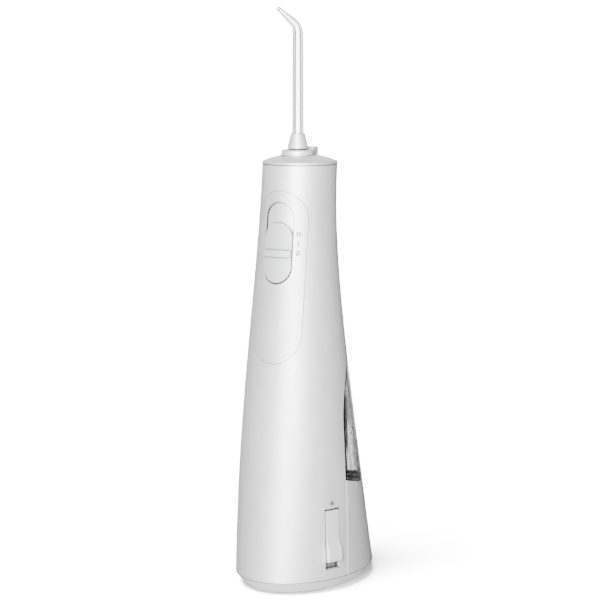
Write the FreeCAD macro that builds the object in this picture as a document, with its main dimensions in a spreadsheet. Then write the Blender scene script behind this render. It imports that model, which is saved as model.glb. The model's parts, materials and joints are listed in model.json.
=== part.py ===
import FreeCAD, Part
import math
import os
import Sketcher

# Cordless water flosser, standing on its four rubber feet. Millimetres, +Z up.
# The origin is the middle of the footprint, on the surface the flosser stands on.
# The switch faces -Y, the water reservoir is at the back (+Y), and the charging port faces +X.

Vector = FreeCAD.Vector
Rotation = FreeCAD.Rotation
Placement = FreeCAD.Placement

SIZES = {
    # Outer form: level, half width, half depth and centre of each elliptical station.
    "foot_level": 6.8, "foot_half_width": 32.5, "foot_half_depth": 45.4, "foot_centre": 0,
    "hip_level": 45, "hip_half_width": 30.9, "hip_half_depth": 38.6, "hip_centre": -3.85,
    "waist_level": 90, "waist_half_width": 27.9, "waist_half_depth": 31.1, "waist_centre": -6.85,
    "grip_level": 135, "grip_half_width": 24, "grip_half_depth": 24.6, "grip_centre": -8.2,
    "neck_level": 180, "neck_half_width": 20.35, "neck_half_depth": 20.4, "neck_centre": -7.65,
    "rim_level": 216.8, "rim_half_width": 19.2, "rim_half_depth": 19.2, "rim_centre": -5.25,
    "wall": 2, "tank_wall": 1.8, "liner_gap": 0.1, "running_gap": 0.3, "seam_gap": 0.7,
    # Chamfered base.
    "base_level": 1.2, "base_inset": 4.9, "base_edge": 0.5, "base_floor": 3.2, "base_skin": 3.6,
    "lip_top": 10, "boss_radius": 2.5, "screw_radius": 1.1, "screw_head": 2, "screw_sink": 2.1,
    "screw_head_height": 1.2,
    # Parting surface between housing and reservoir: a leaning line, then an arc over the tank.
    "seam_foot": -11.9, "seam_bend": -9.9, "seam_bend_level": 82, "seam_radius": 62,
    # Control panel, switch slot and slider.
    "panel_half_width": 14, "panel_low": 131.5, "panel_high": 190.2, "panel_depth": 1.1, "panel_gap": 0.2,
    "slot_half_width": 8.1, "slot_low": 165.5, "slot_high": 190.7,
    "slider_half_width": 7.8, "slider_low": 166.1, "slider_high": 180.6, "slider_rise": 0.4,
    "slider_depth": 0.9, "ledge_low": 171.4, "ledge_high": 174.7, "ledge_rise": 1.7,
    "stem_half_width": 2.2, "stem_low": 168, "stem_high": 176, "stem_travel": 9.6,
    # Axis of the jet tip and everything that turns with it.
    "tip_axis": -7.35, "shank_radius": 3, "shank_foot": 203, "cone_foot": 224.7,
    "cone_radius": 5.25, "cone_top": 232.5, "cone_top_radius": 3.55, "cone_socket": 226,
    "tube_radius": 2.95, "tube_bend_radius": 2.65, "tube_bend_level": 282.4, "tube_bend_turn": 66,
    "tube_bend_curve": 6, "nozzle_length": 17.3, "nozzle_radius": 1.1,
    "tube_bore": 1.5, "nozzle_bore": 0.5,
    "collar_radius": 8.5, "collar_top_radius": 8.2, "collar_foot": 218.8, "collar_top": 224.2,
    "flange_radius": 9.8, "rotator_bore": 3.45, "flange_foot": 217.2,
    "socket_foot": 188, "socket_level": 196, "socket_top": 213, "socket_radius": 4.6,
    "socket_bore": 3.2, "barb_radius": 1.55, "barb_bore": 0.9,
    # Top cap.
    "cap_foot": 217.2, "cap_crown": 222.3, "cap_dome": 48.2, "cap_skin": 1.8,
    "spigot_radius": 16.5, "spigot_bore": 15.2, "spigot_foot": 212.5,
    # Eject button and its fork.
    "button_half_width": 3.75, "button_front": 2.7, "button_leg": 4.8, "button_back": 7.1,
    "button_foot": 208, "button_shelf": 222.4, "button_top": 225.3, "button_travel": 1.2,
    "fork_foot": 215.2, "fork_top": 216.6, "fork_half_width": 7, "fork_slot": 3.3, "fork_end": -15.5,
    # Charging port, on an axis turned towards the front.
    "port_turn": -21.6, "port_x": 27.6, "port_y": -20.9,
    "port_half_width": 4.8, "port_low": 11.7, "port_high": 43.2, "port_floor": 2.6,
    "cover_half_width": 4.4, "cover_low": 16, "cover_high": 42.4, "cover_depth": 1.4,
    "cover_rise": 0.2, "cover_bulge": 3.4, "cover_pin_level": 41.4, "cover_pin_depth": 0.6,
    "cover_pin_radius": 0.5, "frame_half_width": 6.5, "frame_low": 10.2, "frame_high": 44.4,
    "frame_depth": 8, "jack_level": 27, "jack_radius": 2.55, "jack_bore": 1.9, "jack_depth": 10,
    "lens_level": 45.9, "lens_radius": 1.05,
    # Reservoir: tilted joint between the clear tank and the opaque lower part.
    "joint_level": 53.5, "joint_fall": 0.234, "collar_height": 5.6, "tank_floor": 9,
    "door_half_width": 8, "door_high": 39, "door_y": 26, "door_skin": 0.9,
    "door_frame": 3, "door_frame_depth": 4, "door_pin_level": 18.6, "door_pin_y": 40.6,
    "door_pin_radius": 0.7, "knuckle_radius": 1.3, "lug_width": 2,
    "duct_x": 20, "duct_y": 5.5, "duct_radius": 1.9, "duct_bore": 1.2, "duct_foot": 11,
    "duct_level": 100, "duct_bend": 6, "nipple_radius": 2.4,
    # Drive train: motor, face gear, crank, connecting rod and piston on one upright line.
    "drive_y": -22.5, "motor_foot": 59, "motor_length": 28, "motor_half_width": 10.05,
    "motor_half_depth": 7.55, "shaft_radius": 1, "shaft_top": 96.3, "pinion_foot": 91.8,
    "pinion_length": 4.2, "pinion_root": 2.35, "pinion_tip": 3.45, "pinion_teeth": 10,
    "gear_level": 104.8, "gear_radius": 12, "gear_front": -18.85, "gear_back": -15.35,
    "gear_teeth": 36, "tooth_inner": 9.8, "tooth_outer": 11.8, "tooth_tip": 1.1, "tooth_width": 0.55,
    "axle_radius": 1.5, "crank_radius": 4.5, "crank_pin_radius": 1.25, "crank_pin_end": -21,
    "rod_length": 21, "rod_half_depth": 1.2, "rod_half_width": 1.5, "rod_big_radius": 3.2,
    "rod_small_radius": 2.2, "wrist_radius": 1,
    "piston_radius": 3.95, "piston_bore": 2.9, "cylinder_bore": 4, "cylinder_radius": 6,
    "cylinder_foot": 122, "head_foot": 139.5, "head_top": 150,
    "plate_front": -14.9, "plate_back": -13,
    # Batteries and circuit board.
    "cell_radius": 7.25, "cell_length": 50, "cell_foot": 5, "cell_x": 8.2, "cell_y": -22.2,
    "board_y": -33.2, "board_thick": 1.6,
}

doc = FreeCAD.newDocument("water_flosser")
sheet = doc.addObject("Spreadsheet::Sheet", "Sizes")
for row, (alias, size) in enumerate(SIZES.items(), start=1):
    sheet.set("A%d" % row, alias)
    sheet.set("B%d" % row, str(size))
    sheet.setAlias("B%d" % row, alias)
doc.recompute()

STATIONS = ("foot", "hip", "waist", "grip", "neck", "rim")
UPRIGHT_X = Rotation(Vector(1, 1, 1), 120)      # sketch x, y, normal -> Y, Z, X
UPRIGHT_Y = Rotation(Vector(1, 0, 0), 90)       # sketch x, y, normal -> X, Z, -Y
FLAT = Rotation()                               # sketch x, y, normal -> X, Y, Z
ALONG_X = Rotation(Vector(0, 1, 0), 90)         # a primitive's Z axis -> X
ALONG_Y = Rotation(Vector(1, 0, 0), -90)        # a primitive's Z axis -> Y
PORT_TURN = Rotation(Vector(0, 0, 1), SIZES["port_turn"])
SUBPARTS = {}


def rule(text):
    """Turn {alias} into the spreadsheet's own reference."""
    return text.replace("{", "Sizes.").replace("}", "")


def number(text):
    """The present value of a rule."""
    return float(sheet.evalExpression(rule(text)))


def new(kind, name, turn=FLAT, at=("0", "0", "0"), **sizes):
    """Add an object whose sizes and place are rules on the sheet."""
    item = doc.addObject(kind, name)
    item.Placement = Placement(Vector(), turn)
    for letter, text in zip("xyz", at):
        item.setExpression("Placement.Base." + letter, rule(text))
    for size, text in sizes.items():
        item.setExpression(size, rule(text))
    return item


def box(name, low, high):
    """A box between two corners, each a triple of rules."""
    spans = ["(%s) - (%s)" % (far, near) for near, far in zip(low, high)]
    return new("Part::Box", name, at=low, Length=spans[0], Width=spans[1], Height=spans[2])


def rod(name, radius, length, at, turn=FLAT):
    return new("Part::Cylinder", name, turn, at, Radius=radius, Height=length)


def cut(name, base, tool):
    item = doc.addObject("Part::Cut", name)
    item.Base = base
    item.Tool = tool
    return item


def carve(name, base, *tools):
    """Cut several tools from a base, one after the other."""
    for index, tool in enumerate(tools):
        base = cut("%s_cut_%d" % (name, index), base, tool)
    return base


def join(name, *shapes):
    item = doc.addObject("Part::MultiFuse", name)
    item.Shapes = list(shapes)
    return item


def common(name, *shapes):
    item = doc.addObject("Part::MultiCommon", name)
    item.Shapes = list(shapes)
    return item


def group(name, *shapes):
    """Keep several separate solids in one sub-part."""
    item = doc.addObject("Part::Compound", name)
    item.Links = list(shapes)
    return item


def subpart(node, item):
    """Give a finished piece its own label and list it for export."""
    item.Label = node
    SUBPARTS[node] = item
    return item


def fix_point(sketch, geometry, point, x, y):
    """Hold one point of a sketch at a place given by two rules."""
    for kind, text in (("DistanceX", x), ("DistanceY", y)):
        seat = sketch.addConstraint(Sketcher.Constraint(kind, -1, 1, geometry, point, number(text)))
        sketch.setExpression("Constraints[%d]" % seat, rule(text))


def add_polygon(sketch, corners):
    """Draw a closed loop of straight lines with every corner held."""
    points = [Vector(number(x), number(y), 0) for x, y in corners]
    first = sketch.GeometryCount
    count = len(points)
    for index in range(count):
        sketch.addGeometry(Part.LineSegment(points[index], points[(index + 1) % count]))
    for index, (x, y) in enumerate(corners):
        before = first + (index - 1) % count
        sketch.addConstraint(Sketcher.Constraint("Coincident", before, 2, first + index, 1))
        fix_point(sketch, first + index, 1, x, y)


def add_circle(sketch, x, y, radius):
    centre = Vector(number(x), number(y), 0)
    index = sketch.addGeometry(Part.Circle(centre, Vector(0, 0, 1), number(radius)))
    fix_point(sketch, index, 3, x, y)
    seat = sketch.addConstraint(Sketcher.Constraint("Radius", index, number(radius)))
    sketch.setExpression("Constraints[%d]" % seat, rule(radius))


def free_sketch(name, turn, at=("0", "0", "0")):
    return new("Sketcher::SketchObject", name, turn, at)


def prism(name, sketch, forward, backward):
    """Extrude a sketch both ways along its normal."""
    item = new("Part::Extrusion", name, LengthFwd=forward, LengthRev=backward)
    item.Base = sketch
    item.DirMode = "Normal"
    item.Solid = True
    return item


def slab(name, corners, reach="60"):
    """A wide slab whose outline is drawn in the YZ plane."""
    sketch = free_sketch(name + "_outline", UPRIGHT_X)
    add_polygon(sketch, corners)
    return prism(name, sketch, reach, reach)


def stadium(name, half_width, low, high, forward, backward, x="0"):
    """An upright bar with round ends, running along -Y through the front wall."""
    bar = box(name + "_bar", ("(%s) - (%s)" % (x, half_width), "-(%s)" % forward, low),
              ("(%s) + (%s)" % (x, half_width), backward, high))
    span = "(%s) + (%s)" % (forward, backward)
    ends = [rod(name + end, half_width, span, (x, "-(%s)" % forward, level), ALONG_Y)
            for end, level in (("_low", low), ("_high", high))]
    item = join(name, bar, *ends)
    item.Refine = True
    return item


def origin_plane(body, role):
    return next(plane for plane in body.Origin.OriginFeatures if plane.Role == role)


def body_sketch(body, name, role="XZ_Plane"):
    """A sketch in a body, attached to one of that body's own planes."""
    sketch = body.newObject("Sketcher::SketchObject", name)
    sketch.AttachmentSupport = (origin_plane(body, role), "")
    sketch.MapMode = "FlatFace"
    return sketch


def turned(name, at, *loops, turn=FLAT):
    """A body turned about its own upright axis; loops are (radius, level) corners."""
    body = new("PartDesign::Body", name, turn, at)
    sketch = body_sketch(body, name + "_profile")
    for loop in loops:
        add_polygon(sketch, loop)
    doc.recompute()
    revolve = body.newObject("PartDesign::Revolution", name + "_turning")
    revolve.Profile = sketch
    revolve.ReferenceAxis = (sketch, ["V_Axis"])
    revolve.Angle = 360
    return body


def padded(name, draw, thickness):
    """A body padded both ways from one sketch in its YZ plane, which draw fills in."""
    body = new("PartDesign::Body", name)
    sketch = body_sketch(body, name + "_profile", "YZ_Plane")
    draw(sketch)
    doc.recompute()
    pad = body.newObject("PartDesign::Pad", name + "_pad")
    pad.Profile = sketch
    pad.Midplane = True
    pad.setExpression("Length", rule(thickness))
    return body


def piped(name, turn, at, corners, radius, bends):
    """A round bar along a planar route of straight runs joined by tangent arcs."""
    points = [Vector(number(x), number(y), 0) for x, y in corners]
    edges = []
    start = points[0]
    for index, bend in enumerate(bends, start=1):
        inward = (points[index] - points[index - 1]).normalize()
        outward = (points[index + 1] - points[index]).normalize()
        half_turn = inward.getAngle(outward) / 2
        curve = number(bend)
        entry = points[index] - inward * curve * math.tan(half_turn)
        leave = points[index] + outward * curve * math.tan(half_turn)
        pull = (outward - inward).normalize()
        bow = points[index] + pull * curve * (1 / math.cos(half_turn) - 1)
        edges.append(Part.LineSegment(start, entry).toShape())
        edges.append(Part.Arc(entry, bow, leave).toShape())
        start = leave
    edges.append(Part.LineSegment(start, points[-1]).toShape())
    ring = Part.Wire([Part.Circle(points[0], points[1] - points[0], number(radius)).toShape()])
    item = doc.addObject("Part::Feature", name)
    item.Shape = Part.Wire(edges).makePipeShell([ring], True, True)
    item.Placement = Placement(Vector(*[number(text) for text in at]), turn)
    return item


def drilled_pipe(name, turn, at, corners, radius, bore, bends):
    """A hose: a round bar along a route, bored along the same route."""
    return cut(name, piped(name + "_outside", turn, at, corners, radius, bends),
               piped(name + "_bore", turn, at, corners, bore, bends))


# Outer form and the two halves it is divided into

def form(name, inset, start=90):
    """The flosser's outer form, drawn in by inset: a loft through its elliptical stations.

    Each ellipse starts at the back (90) or at the front (-90), away from what is cut there.
    """
    rings = []
    for station in STATIONS:
        ring = new("Part::Ellipse", name + "_" + station, Rotation(Vector(0, 0, 1), start),
                   ("0", "{%s_centre}" % station, "{%s_level}" % station),
                   MajorRadius="{%s_half_depth} - (%s)" % (station, inset),
                   MinorRadius="{%s_half_width} - (%s)" % (station, inset))
        rings.append(ring)
    loft = doc.addObject("Part::Loft", name)
    loft.Sections = rings
    loft.Solid = True
    return loft


def behind_seam(name, offset, reach="60"):
    """Everything behind the parting surface, which offset moves towards the front."""
    sketch = free_sketch(name + "_outline", UPRIGHT_X)
    foot_y = "{seam_foot} - (%s)" % offset
    bend_y = "{seam_bend} - (%s)" % offset
    centre_y = "{seam_bend} + {seam_radius}"
    top = "{seam_bend_level} + {seam_radius} + (%s)" % offset
    low = "-{foot_level}"
    corners = [(centre_y, top), (reach, top), (reach, low), (foot_y, low),
               (bend_y, "{seam_bend_level}")]
    points = [Vector(number(y), number(z), 0) for y, z in corners]
    for index in range(len(points) - 1):
        sketch.addGeometry(Part.LineSegment(points[index], points[index + 1]))
    centre = Vector(number(centre_y), number("{seam_bend_level}"), 0)
    circle = Part.Circle(centre, Vector(0, 0, 1), number("{seam_radius} + (%s)" % offset))
    arc = sketch.addGeometry(Part.ArcOfCircle(circle, math.pi / 2, math.pi))
    for index, (y, z) in enumerate(corners[:-1]):
        fix_point(sketch, index, 1, y, z)
        if index:
            sketch.addConstraint(Sketcher.Constraint("Coincident", index - 1, 2, index, 1))
    fix_point(sketch, arc, 3, centre_y, "{seam_bend_level}")
    sketch.addConstraint(Sketcher.Constraint("Coincident", arc, 1, 0, 1))
    sketch.addConstraint(Sketcher.Constraint("Coincident", arc, 2, arc - 1, 2))
    seat = sketch.addConstraint(Sketcher.Constraint("DistanceY", -1, 1, arc, 2, centre.y))
    sketch.setExpression("Constraints[%d]" % seat, rule("{seam_bend_level}"))
    return prism(name, sketch, reach, reach)


def seam_band(name, front, back):
    """A curved plate that follows the parting surface between two offsets from it."""
    outer = behind_seam(name + "_front", front)
    inner = behind_seam(name + "_back", back, "70")
    return cut(name, outer, inner)


def front_core(name, inset, seam_inset=None):
    """The housing's space, drawn in by inset on its outside and at the seam."""
    seam_inset = inset if seam_inset is None else seam_inset
    return cut(name, form(name + "_form", inset), behind_seam(name + "_behind", seam_inset))


def rear_core(name, inset):
    """The reservoir's space, drawn in by inset on its outside and at the seam."""
    behind = behind_seam(name + "_behind", "-{seam_gap} - (%s)" % inset)
    return common(name, form(name + "_form", inset, -90), behind)


def foot_form(name, inset, bottom):
    """The chamfered foot of the form: a narrow base, a full edge and a fine bevel under the body."""
    rings = []
    stages = (("_base", bottom, "{base_inset}"), ("_edge", "{foot_level} - {base_edge}", "0"),
              ("_bevel", "{foot_level}", "{base_edge}"))
    for stage, level, drawn in stages:
        ring = new("Part::Ellipse", name + stage, Rotation(Vector(0, 0, 1), 90),
                   ("0", "{foot_centre}", level),
                   MajorRadius="{foot_half_depth} - (%s) - (%s)" % (drawn, inset),
                   MinorRadius="{foot_half_width} - (%s) - (%s)" % (drawn, inset))
        rings.append(ring)
    loft = doc.addObject("Part::Loft", name)
    loft.Sections = rings
    loft.Solid = True
    loft.Ruled = True
    return loft


def above_joint(name, rise, reach="200"):
    """Everything above the tilted joint of the reservoir, raised by rise."""
    front = "{joint_level} + 60 * {joint_fall} + (%s)" % rise
    back = "{joint_level} - 60 * {joint_fall} + (%s)" % rise
    return slab(name, [("-60", front), ("60", back), ("60", reach), ("-60", reach)])


def below_joint(name, rise):
    """Everything below the tilted joint of the reservoir, raised by rise."""
    front = "{joint_level} + 60 * {joint_fall} + (%s)" % rise
    back = "{joint_level} - 60 * {joint_fall} + (%s)" % rise
    return slab(name, [("-60", "-5"), ("60", "-5"), ("60", back), ("-60", front)])


# The charging port's own frame: x across the port, y up, z out of the surface

def port_prism(name, half_width, low, high, outward, inward):
    """A bar through the port's wall, given by its width and heights."""
    sketch = free_sketch(name + "_outline", PORT_TURN.multiply(UPRIGHT_X), ("{port_x}", "{port_y}", "0"))
    add_polygon(sketch, [("-(%s)" % half_width, low), (half_width, low), (half_width, high),
                         ("-(%s)" % half_width, high)])
    return prism(name, sketch, outward, inward)


def port_rod(name, radius, level, outward, inward):
    """A round bar through the port's wall."""
    sketch = free_sketch(name + "_outline", PORT_TURN.multiply(UPRIGHT_X), ("{port_x}", "{port_y}", "0"))
    add_circle(sketch, "0", level, radius)
    return prism(name, sketch, outward, inward)


def port_side(name, draw, half_width):
    """A bar across the port, drawn from its side: x out of the surface, y up."""
    sketch = free_sketch(name + "_outline", PORT_TURN.multiply(UPRIGHT_Y), ("{port_x}", "{port_y}", "0"))
    draw(sketch)
    return prism(name, sketch, half_width, half_width)


# Housing

def make_main_shell():
    """The moulded body of the housing, open at the back, with its cut-outs."""
    skin = cut("shell_skin", front_core("shell_outer", "0"), form("shell_hollow", "{wall}"))
    recess = cut("panel_recess", stadium("panel_recess_bar", "{panel_half_width} + {panel_gap}",
                                         "{panel_low}",
                                         "{panel_high}", "60", "{tip_axis}"),
                 form("panel_seat", "{panel_depth}"))
    stem_slot = box("stem_slot", ("-{stem_half_width} - {running_gap}", "-60", "{stem_low} - {running_gap}"),
                    ("{stem_half_width} + {running_gap}", "{tip_axis}", "{stem_high} + {stem_travel} + 1"))
    port = port_prism("port_window", "{port_half_width}", "{port_low}", "{port_high}", "9", "6")
    pin = port_side("port_pin_seat", lambda sketch: add_circle(sketch, "-{cover_pin_depth}",
                    "{cover_pin_level}", "{cover_pin_radius}"), "{port_half_width} + 0.6")
    lens = port_rod("lens_seat", "{lens_radius}", "{lens_level}", "5", "6")
    openings = join("shell_openings", recess, stem_slot, port, pin, lens)
    subpart("main_shell", cut("main_shell", skin, openings))


def make_control_panel():
    """The inlay flush with the front, with the slot the switch slides in."""
    plate = common("panel_plate",
                   stadium("panel_bar", "{panel_half_width}", "{panel_low}", "{panel_high}", "60",
                           "{tip_axis}"),
                   cut("panel_band", form("panel_outer", "0"), form("panel_inner", "{panel_depth}")))
    slot = stadium("switch_slot", "{slot_half_width}", "{slot_low}", "{slot_high}", "60", "{tip_axis}")
    subpart("control_panel", cut("control_panel", plate, slot))


def make_slide_switch():
    """The slider with its thumb ledge and the stem that reaches through the wall."""
    pad = common("slider_pad",
                 stadium("slider_bar", "{slider_half_width}", "{slider_low}", "{slider_high}", "60",
                         "{tip_axis}"),
                 cut("slider_band", form("slider_outer", "-{slider_rise}"),
                     form("slider_inner", "{slider_depth}")))
    ledge = common("slider_ledge",
                   box("ledge_bar", ("-{slider_half_width}", "-60", "{ledge_low}"),
                       ("{slider_half_width}", "{tip_axis}", "{ledge_high}")),
                   cut("ledge_band", form("ledge_outer", "-{ledge_rise}"), form("ledge_inner", "0")))
    stem = common("slider_stem",
                  box("stem_bar", ("-{stem_half_width}", "-60", "{stem_low}"),
                      ("{stem_half_width}", "-25", "{stem_high}")),
                  form("stem_reach", "0.5"))
    subpart("slide_switch", join("slide_switch", pad, ledge, stem))
    carrier = common("carrier_block",
                     box("carrier_bar", ("-5.5", "-60", "{stem_low} - 2"), ("5.5", "-23", "{stem_high} + 2")),
                     form("carrier_reach", "{wall} + 0.4"))
    stem_hole = box("carrier_hole", ("-{stem_half_width}", "-60", "{stem_low}"),
                    ("{stem_half_width}", "-25", "{stem_high}"))
    subpart("switch_carrier", cut("switch_carrier", carrier, stem_hole))
    subpart("switch_magnet", box("switch_magnet", ("-2", "-23", "{stem_low} + 2"),
                                 ("2", "-21.8", "{stem_high} - 2")))


PLATE_SCREWS = (("-11.6", "{seam_bend} - 0.9", "64"), ("11.6", "{seam_bend} - 0.9", "64"),
                ("-11.6", "{seam_bend} - 0.5", "84"), ("11.6", "{seam_bend} - 0.5", "84"))


def make_rear_plate():
    """The wall between the housing and the reservoir, following the parting surface."""
    band = common("plate_band", form("plate_form", "{wall}"),
                  seam_band("plate_curve", "{running_gap} + {wall}", "{running_gap}"))
    port = rod("plate_port", "{nipple_radius} + {running_gap}", "30", ("{duct_x}", "-20", "{duct_level}"),
               ALONG_Y)
    holes = [rod("plate_hole_%d" % index, "{screw_radius}", "30", (x, "-30", z), ALONG_Y)
             for index, (x, y, z) in enumerate(PLATE_SCREWS)]
    sinks = [rod("plate_sink_%d" % index, "{screw_sink}", "5", (x, y + " - {screw_head_height}", z), ALONG_Y)
             for index, (x, y, z) in enumerate(PLATE_SCREWS)]
    subpart("rear_plate", carve("rear_plate", band, port, *holes, *sinks))


BASE_SCREWS = (("left", "-18"), ("right", "18"))


def make_base_cap():
    """The front half of the chamfered base, with a centring lip and two screw bosses."""
    tray = cut("base_tray", foot_form("base_outer", "0", "{base_level}"), behind_seam("base_behind", "0"))
    hollow = cut("base_hollow", foot_form("base_inner", "{base_skin}", "{base_floor}"),
                 behind_seam("base_wall", "2.8"))
    lip = common("base_lip", cut("lip_band", front_core("lip_outer", "{wall} + {liner_gap} / 2", "2.5"),
                                 form("lip_inner", "{base_skin}")),
                 box("lip_slice", ("-60", "-60", "{foot_level}"), ("60", "60", "{lip_top}")))
    bosses = [rod("base_boss_" + side, "{boss_radius}", "{foot_level} - {base_floor}",
                  (x, "{cell_y}", "{base_floor}"))
              for side, x in BASE_SCREWS]
    holes = [rod("base_hole_" + side, "{screw_radius}", "10", (x, "{cell_y}", "0"))
             for side, x in BASE_SCREWS]
    sinks = [rod("base_sink_" + side, "{screw_sink}", "1.8", (x, "{cell_y}", "{base_level}"))
             for side, x in BASE_SCREWS]
    whole = join("base_whole", cut("base_pan", tray, hollow), lip, *bosses)
    subpart("base_cap", carve("base_cap", whole, *holes, *sinks))


def make_feet():
    """Four glued rubber pads, two under the housing and two under the reservoir."""
    for node, depth in (("front_feet", "-25.3"), ("rear_feet", "25.3")):
        pads = []
        for side in (-1, 1):
            turn = 58.6 * side * (1 if depth.startswith("-") else -1)
            sketch = free_sketch("%s_outline_%d" % (node, side + 1), Rotation(Vector(0, 0, 1), turn),
                                 ("%s * 17.9" % side, depth, "0"))
            add_polygon(sketch, [("-7", "-1.4"), ("-5.6", "-2.5"), ("5.6", "-2.5"), ("7", "-1.4"),
                                 ("7", "1.4"), ("5.6", "2.5"), ("-5.6", "2.5"), ("-7", "1.4")])
            pads.append(prism("%s_pad_%d" % (node, side + 1), sketch, "{base_level}", "0"))
        subpart(node, group(node, *pads))


def make_top_cap():
    """The shallow domed cap with a spigot, a hole for the collar and a slot for the button."""
    centre = "{rim_centre}"
    disc = rod("cap_disc", "{rim_half_width}", "8", ("0", centre, "{cap_foot}"))
    dome = new("Part::Sphere", "cap_dome", at=("0", centre, "{cap_crown} - {cap_dome}"), Radius="{cap_dome}")
    hollow_disc = rod("cap_hollow_disc", "{spigot_radius}", "9", ("0", centre, "{cap_foot} - 1"))
    hollow_dome = new("Part::Sphere", "cap_hollow_dome", at=("0", centre, "{cap_crown} - {cap_dome}"),
                      Radius="{cap_dome} - {cap_skin}")
    spigot = cut("cap_spigot", rod("cap_spigot_outer", "{spigot_radius}", "{cap_foot} - {spigot_foot} + 0.8",
                                   ("0", centre, "{spigot_foot}")),
                 rod("cap_spigot_bore", "{spigot_bore}", "20", ("0", centre, "{spigot_foot} - 1")))
    skin = cut("cap_skin", common("cap_solid", disc, dome), common("cap_hollow", hollow_disc, hollow_dome))
    hole = rod("cap_hole", "{collar_radius} + 0.25", "20", ("0", "{tip_axis}", "{cap_foot}"))
    slot = box("cap_slot", ("-{button_half_width} - {running_gap}", "{button_leg} - {button_travel} - 0.4",
                            "{cap_foot}"),
               ("{button_half_width} + {running_gap}", "{button_back} + {running_gap}", "{button_top}"))
    subpart("top_cap", cut("top_cap", join("cap_whole", skin, spigot), join("cap_openings", hole, slot)))


# Jet tip and rotating collar

def make_tip_rotator():
    """The collar that turns the tip, with the flange that keeps it under the cap."""
    subpart("tip_rotator", turned("tip_rotator", ("0", "{tip_axis}", "0"), [
        ("{rotator_bore}", "{flange_foot}"), ("{flange_radius}", "{flange_foot}"),
        ("{flange_radius}", "{collar_foot}"), ("{collar_radius}", "{collar_foot}"),
        ("{collar_radius}", "{collar_foot} + 2"), ("{collar_top_radius}", "{collar_top} - 0.5"),
        ("{collar_top_radius} - 0.5", "{collar_top}"), ("{rotator_bore}", "{collar_top}")]))


def make_tip_collar():
    """The white cone and hollow shank that plug into the flosser."""
    seal_seat = "{shank_radius} - 0.95"
    subpart("tip_collar", turned("tip_collar", ("0", "{tip_axis}", "0"), [
        ("{tube_bore}", "{shank_foot}"), ("{shank_radius} - 0.4", "{shank_foot}"),
        ("{shank_radius}", "{shank_foot} + 0.6"), ("{shank_radius}", "{shank_foot} + 2"),
        (seal_seat, "{shank_foot} + 2"), (seal_seat, "{shank_foot} + 3.4"),
        ("{shank_radius}", "{shank_foot} + 3.4"), ("{shank_radius}", "{fork_foot} - 0.3"),
        ("{shank_radius} - 0.4", "{fork_foot}"), ("{shank_radius} - 0.4", "{fork_top}"),
        ("{shank_radius}", "{fork_top} + 0.3"), ("{shank_radius}", "{cone_foot}"),
        ("{cone_radius} - 0.1", "{cone_foot}"), ("{cone_radius}", "{cone_foot} + 0.1"),
        ("{cone_radius}", "{cone_foot} + 0.8"),
        ("{cone_top_radius}", "{cone_top}"), ("{tube_radius}", "{cone_top}"),
        ("{tube_radius}", "{cone_socket}"), ("{tube_bore}", "{cone_socket}")]))
    subpart("tip_o_ring", new("Part::Torus", "tip_o_ring", at=("0", "{tip_axis}", "{shank_foot} + 2.7"),
                              Radius1="{shank_radius} - 0.4", Radius2="0.55"))


def tip_bar(name, straight, bend_radius, end_radius):
    """A tapered round bar that follows the tip: straight up, then bent forward to the nozzle."""
    axis = number("{tip_axis}")
    bend = number("{tube_bend_level}")
    curve = number("{tube_bend_curve}")
    turn = math.radians(number("{tube_bend_turn}"))
    reach = number("{nozzle_length}")
    start = Vector(0, axis, bend)
    middle = Vector(0, axis - curve * (1 - math.cos(turn / 2)), bend + curve * math.sin(turn / 2))
    leave = Vector(0, axis - curve * (1 - math.cos(turn)), bend + curve * math.sin(turn))
    heading = Vector(0, -math.sin(turn), math.cos(turn))
    end = leave + heading * reach
    path = Part.Wire([Part.Arc(start, middle, leave).toShape(), Part.LineSegment(leave, end).toShape()])
    rings = [Part.Wire([Part.Circle(start, Vector(0, 0, 1), number(bend_radius)).toShape()]),
             Part.Wire([Part.Circle(end, heading, number(end_radius)).toShape()])]
    nose = doc.addObject("Part::Feature", name + "_nose")
    nose.Shape = path.makePipeShell(rings, True, True)
    stem = new("Part::Cone", name + "_stem", at=("0", "{tip_axis}", "{cone_socket}"), Radius1=straight,
               Radius2=bend_radius, Height="{tube_bend_level} - {cone_socket}")
    return join(name, stem, nose)


def make_jet_tip():
    """The clear tube, tapering to a bent nozzle, with the water way inside."""
    outside = tip_bar("tip_outside", "{tube_radius}", "{tube_bend_radius}", "{nozzle_radius}")
    inside = tip_bar("tip_inside", "{tube_bore}", "{tube_bore} - 0.2", "{nozzle_bore}")
    subpart("jet_tip_tube", cut("jet_tip_tube", outside, inside))


def make_outlet_socket():
    """The fixed socket under the collar: a barb for the hose and a bore for the shank."""
    subpart("outlet_socket", turned("outlet_socket", ("0", "{tip_axis}", "0"), [
        ("{barb_bore}", "{socket_foot}"), ("{barb_radius}", "{socket_foot}"),
        ("{barb_radius}", "{socket_level}"), ("7", "{socket_level}"),
        ("7", "{socket_level} + 2"), ("{socket_radius}", "{socket_level} + 2"),
        ("{socket_radius}", "{socket_top}"), ("{socket_bore}", "{socket_top}"),
        ("{socket_bore}", "{socket_level} + 3"), ("{barb_bore}", "{socket_level} + 3")]))
    deck = common("bracket_deck", form("bracket_form", "{wall}"),
                  box("bracket_slice", ("-60", "-60", "{socket_level} - 2"), ("60", "60", "{socket_level}")))
    subpart("top_bracket", cut("top_bracket", deck, rod("bracket_hole", "2.6", "9",
                                                        ("0", "{tip_axis}", "{socket_level} - 4"))))


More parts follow.
